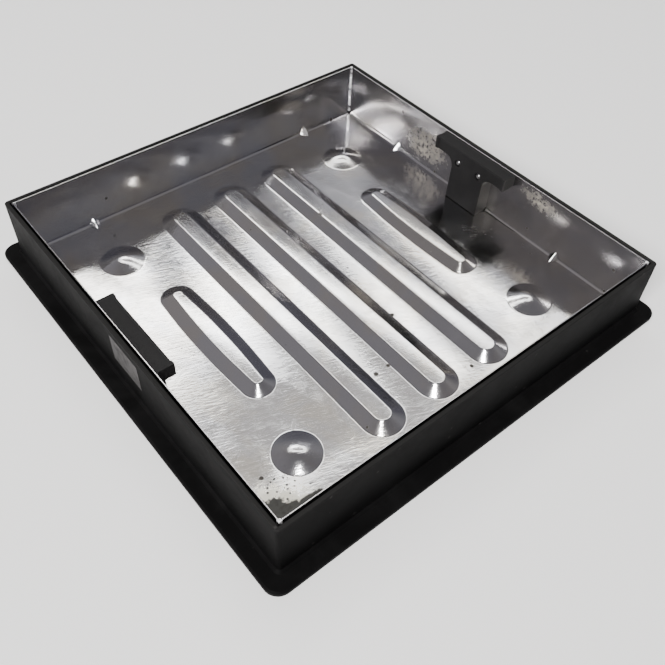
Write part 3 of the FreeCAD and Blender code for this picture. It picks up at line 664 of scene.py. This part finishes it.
def label_paper(effects):
    material, tree, shader, place = new_material("plain_label")
    stain = place_group(tree, effects["patches"], {"Vector": place, "Size": 0.014, "Low": 0.4,
                                                   "High": 0.7}).outputs[0]
    # Painted shade: the pale paper label is coloured near-black, as it looks when lying in shade.
    paper_in_painted_shade, stained_paper_in_painted_shade = (0.0125, 0.010, 0.0105), (0.0085, 0.007, 0.0075)
    tree.links.new(blend(tree, stain, paper_in_painted_shade, stained_paper_in_painted_shade), shader.inputs["Base Color"])
    tree.links.new(calc(tree, "MULTIPLY_ADD", stain, 0.2, 0.55), shader.inputs["Roughness"])
    fibre = add(tree, "TexNoise", {"Vector": place, "Scale": 900.0, "Detail": 2.0})
    bump = add(tree, "Bump", {"Strength": 0.3, "Distance": 0.00005, "Height": fibre.outputs["Fac"]})
    tree.links.new(bump.outputs["Normal"], shader.inputs["Normal"])
    return material


def pale_floor():
    material, _, shader, _ = new_material("pale_floor")
    shader.inputs["Base Color"].default_value = (0.93, 0.93, 0.93, 1)
    shader.inputs["Roughness"].default_value = 0.8
    shader.inputs["Specular IOR Level"].default_value = 0.1
    return material


# Light, floor and camera

def direction(azimuth, elevation):
    a, e = azimuth * TURN, elevation * TURN
    return Vector((math.cos(e) * math.cos(a), math.cos(e) * math.sin(a), math.sin(e)))


def panel_light(name, azimuth, elevation, wide, high, brightness, colour=(1, 1, 1), away=8.0):
    """A rectangular lamp at a direction seen from the tray, its sizes given as angles."""
    lamp = bpy.data.lights.new(name, "AREA")
    lamp.shape = "RECTANGLE"
    lamp.size = 2 * away * math.tan(wide / 2 * TURN)
    lamp.size_y = 2 * away * math.tan(high / 2 * TURN)
    lamp.energy = math.pi * brightness * lamp.size * lamp.size_y
    lamp.color = colour
    holder = bpy.data.objects.new(name, lamp)
    bpy.context.collection.objects.link(holder)
    holder.location = direction(azimuth, elevation) * away
    holder.rotation_euler = (-direction(azimuth, elevation)).to_track_quat("-Z", "Y").to_euler()


def room_light():
    """Grey surroundings, palest a little below half-way up, with a paler room to the left and behind.
    A bright oval ring high up ahead draws the white lines round the ribs and domes."""
    pale_room, ring_middle, ring_white = (0.30, 0.285, 0.30), (0.72, 0.69, 0.66), (9.5, 9.4, 9.0)
    world = bpy.data.worlds.new("soft_room")
    bpy.context.scene.world = world
    world.use_nodes = True
    tree = world.node_tree
    tree.nodes.clear()
    place = tree.nodes.new("ShaderNodeTexCoord").outputs["Generated"]
    parts = add(tree, "SeparateXYZ", {"Vector": place})
    level = add(tree, "Math", {0: parts.outputs["Z"]}, operation="ARCSINE")
    share = add(tree, "MapRange", {"Value": level.outputs[0], "From Min": 0.0, "From Max": math.pi / 2})
    ramp = tree.nodes.new("ShaderNodeValToRGB")
    tree.links.new(share.outputs["Result"], ramp.inputs["Fac"])
    stops = ((0.0, (0.13, 0.125, 0.145)), (20, (0.12, 0.115, 0.14)), (34, (0.27, 0.265, 0.28)),
             (41, (0.30, 0.29, 0.305)), (48, (0.23, 0.22, 0.23)), (60, (0.20, 0.19, 0.20)),
             (90, (0.16, 0.155, 0.165)))
    while len(ramp.color_ramp.elements) < len(stops):
        ramp.color_ramp.elements.new(0.5)
    for element, (elevation, colour) in zip(ramp.color_ramp.elements, stops):
        element.position = elevation / 90
        element.color = (*colour, 1)
    side = add(tree, "VectorMath", {0: place, 1: tuple(direction(155, 15))}, operation="DOT_PRODUCT")
    pale = add(tree, "MapRange", {"Value": side.outputs["Value"], "From Min": 0.25, "From Max": 0.8},
               interpolation_type="SMOOTHSTEP")
    colour = blend(tree, pale.outputs["Result"], ramp.outputs["Color"], pale_room)
    ring_azimuth, ring_elevation = 51.0, 55.0
    ring_wide, ring_high = math.sin(17.5 * TURN), math.sin(8.8 * TURN)
    side_way, up_way = direction(ring_azimuth + 90, 0), direction(ring_azimuth + 180, 90 - ring_elevation)
    aside = add(tree, "VectorMath", {0: place, 1: tuple(side_way / ring_wide)}, operation="DOT_PRODUCT")
    above = add(tree, "VectorMath", {0: place, 1: tuple(up_way / ring_high)}, operation="DOT_PRODUCT")
    ahead = add(tree, "VectorMath", {0: place, 1: tuple(direction(ring_azimuth, ring_elevation))},
                operation="DOT_PRODUCT")
    in_front = calc(tree, "GREATER_THAN", ahead.outputs["Value"], 0.0)
    round_place = add(tree, "CombineXYZ", {"X": aside.outputs["Value"], "Y": above.outputs["Value"]})
    away = add(tree, "VectorMath", {0: round_place.outputs[0]}, operation="LENGTH").outputs["Value"]
    inside = add(tree, "MapRange", {"Value": away, "From Min": 1.15, "From Max": 0.9},
                 interpolation_type="SMOOTHSTEP")
    inside = calc(tree, "MULTIPLY", inside.outputs["Result"], in_front)
    colour = blend(tree, inside, colour, ring_middle)
    off_ring = calc(tree, "ABSOLUTE", calc(tree, "SUBTRACT", away, 1.0))
    ring = add(tree, "MapRange", {"Value": off_ring, "From Min": 0.22, "From Max": 0.16},
               interpolation_type="SMOOTHSTEP")
    ring = calc(tree, "MULTIPLY", ring.outputs["Result"], in_front)
    upright = calc(tree, "ABSOLUTE", calc(tree, "DIVIDE", above.outputs["Value"], away))
    ring = calc(tree, "MULTIPLY", ring, calc(tree, "MULTIPLY_ADD", upright, 0.88, 0.12))
    colour = blend(tree, ring, colour, ring_white)
    back = add(tree, "Background", {"Color": colour, "Strength": 1.0})
    out = tree.nodes.new("ShaderNodeOutputWorld")
    tree.links.new(back.outputs[0], out.inputs["Surface"])


def make_floor():
    across, below = 12, 0.0005
    start_piece()
    bpy.ops.mesh.primitive_plane_add(size=across, location=(0, 0, -below))
    floor = settle(bpy.context.object)
    floor.name = "pale_floor"
    floor.data.materials.append(pale_floor())


def make_camera():
    """The camera as worked out from the photo: no shift, no depth of field."""
    right = Vector((0.77327, -0.63309, 0.0352))
    down = Vector((-0.45737, -0.59536, -0.66057))
    forward = Vector((0.43916, 0.4947, -0.74994))
    eye = Vector((-0.42585, -0.50072, 0.65655))
    data = bpy.data.cameras.new("photo_camera")
    data.sensor_width = 36.0
    data.lens = 42.058
    data.clip_start = 0.01
    camera = bpy.data.objects.new("photo_camera", data)
    bpy.context.collection.objects.link(camera)
    turn = Matrix((right, -down, -forward)).transposed().to_4x4()
    camera.matrix_world = Matrix.Translation(eye) @ turn
    bpy.context.scene.camera = camera


def dress(node, material):
    """Gives a node of the frame its finish through its own material slots."""
    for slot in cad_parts[node].material_slots:
        slot.material = material


def build():
    effects = {"streaks": streak_group(), "patches": patch_group(), "spot": spot_group(),
               "specks": speck_group()}
    tray = steel_tray()
    tray.data.materials.append(zinc_sheet(effects))
    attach(tray, "root")
    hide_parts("tray")
    dress("frame", black_moulding(effects, "frame_plastic", (0.004, 0.0039, 0.004), gloss=0.025, shine=0.5,
                                  grain=0.0012, painted_top_sheen=0.1))
    housing = black_moulding(effects, "housing_plastic", (0.005, 0.0047, 0.005), gloss=0.24, shine=0.5,
                             grain=0.0009, painted_top_sheen=0.0)
    dress("left_lifting_housing", housing)
    dress("right_lifting_housing", housing)
    dress("rivets", rivet_metal(effects))
    dress("blank_label", label_paper(effects))
    make_floor()
    make_camera()
    room_light()
    panel_light("long_strip", 47, 47.2, 34, 3.5, 1.5, (0.95, 0.97, 1))
    panel_light("bright_strip", 64, 47.5, 15, 7, 4.0, (0.97, 0.98, 1))
    panel_light("far_window", 38, 39, 21, 9, 0.34, (0.97, 0.97, 1))
    panel_light("ceiling_lamp", 250, 80, 8, 5, 110.0, (1, 0.99, 0.97))
    panel_light("key_panel", 200, 40, 24, 16, 44.0, (1, 0.99, 0.97))


build()
